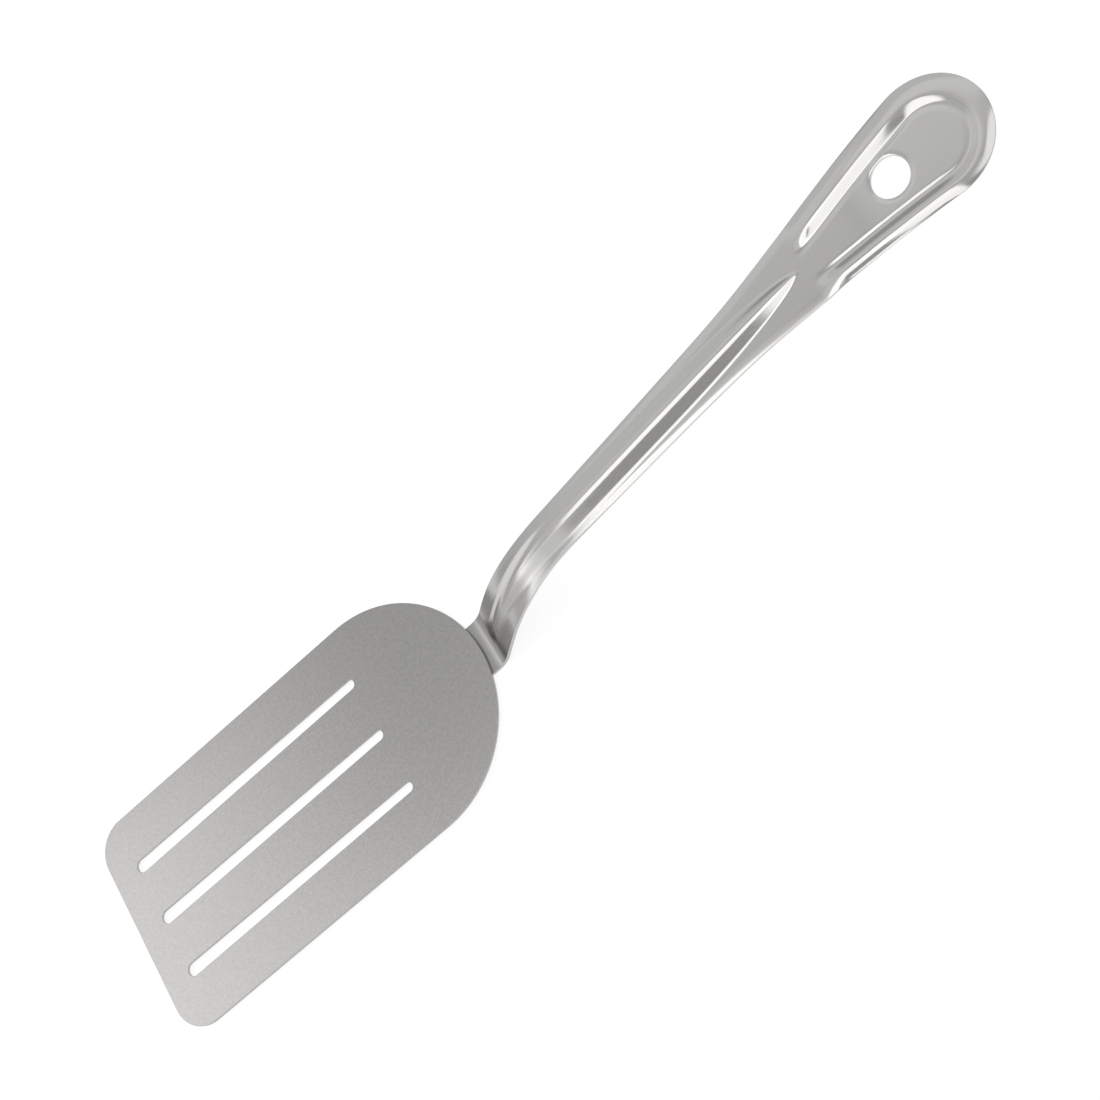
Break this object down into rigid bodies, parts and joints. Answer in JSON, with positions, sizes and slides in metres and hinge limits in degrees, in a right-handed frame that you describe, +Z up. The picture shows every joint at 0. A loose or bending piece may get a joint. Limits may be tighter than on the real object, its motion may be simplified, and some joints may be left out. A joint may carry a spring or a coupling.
{
  "type": "slotted spatula",
  "caption": "Slotted steel turner: flat blade with lengthwise slots, spot welded to a pressed handle with a cranked neck, raised rib and rimmed teardrop end with a hanging hole.",
  "frame": {"origin": "middle of the overall length and width, on the plane under the handle's tongue that the turner rests on", "axes": "+X from the blade's front edge towards the hanging end of the handle, +Y to the left, +Z up from the blade's working face"},
  "size_m": [0.3552, 0.0746, 0.0539],
  "materials": {
    "satin_steel": "fine satin, slightly grainy",
    "polished_steel": "polished",
    "weld_steel": "fused, dull"
  },
  "bodies": {
    "root": {"blade": "satin_steel", "handle": "polished_steel", "spot_weld_front": "weld_steel", "spot_weld_rear": "weld_steel"}
  },
  "joints": []
}
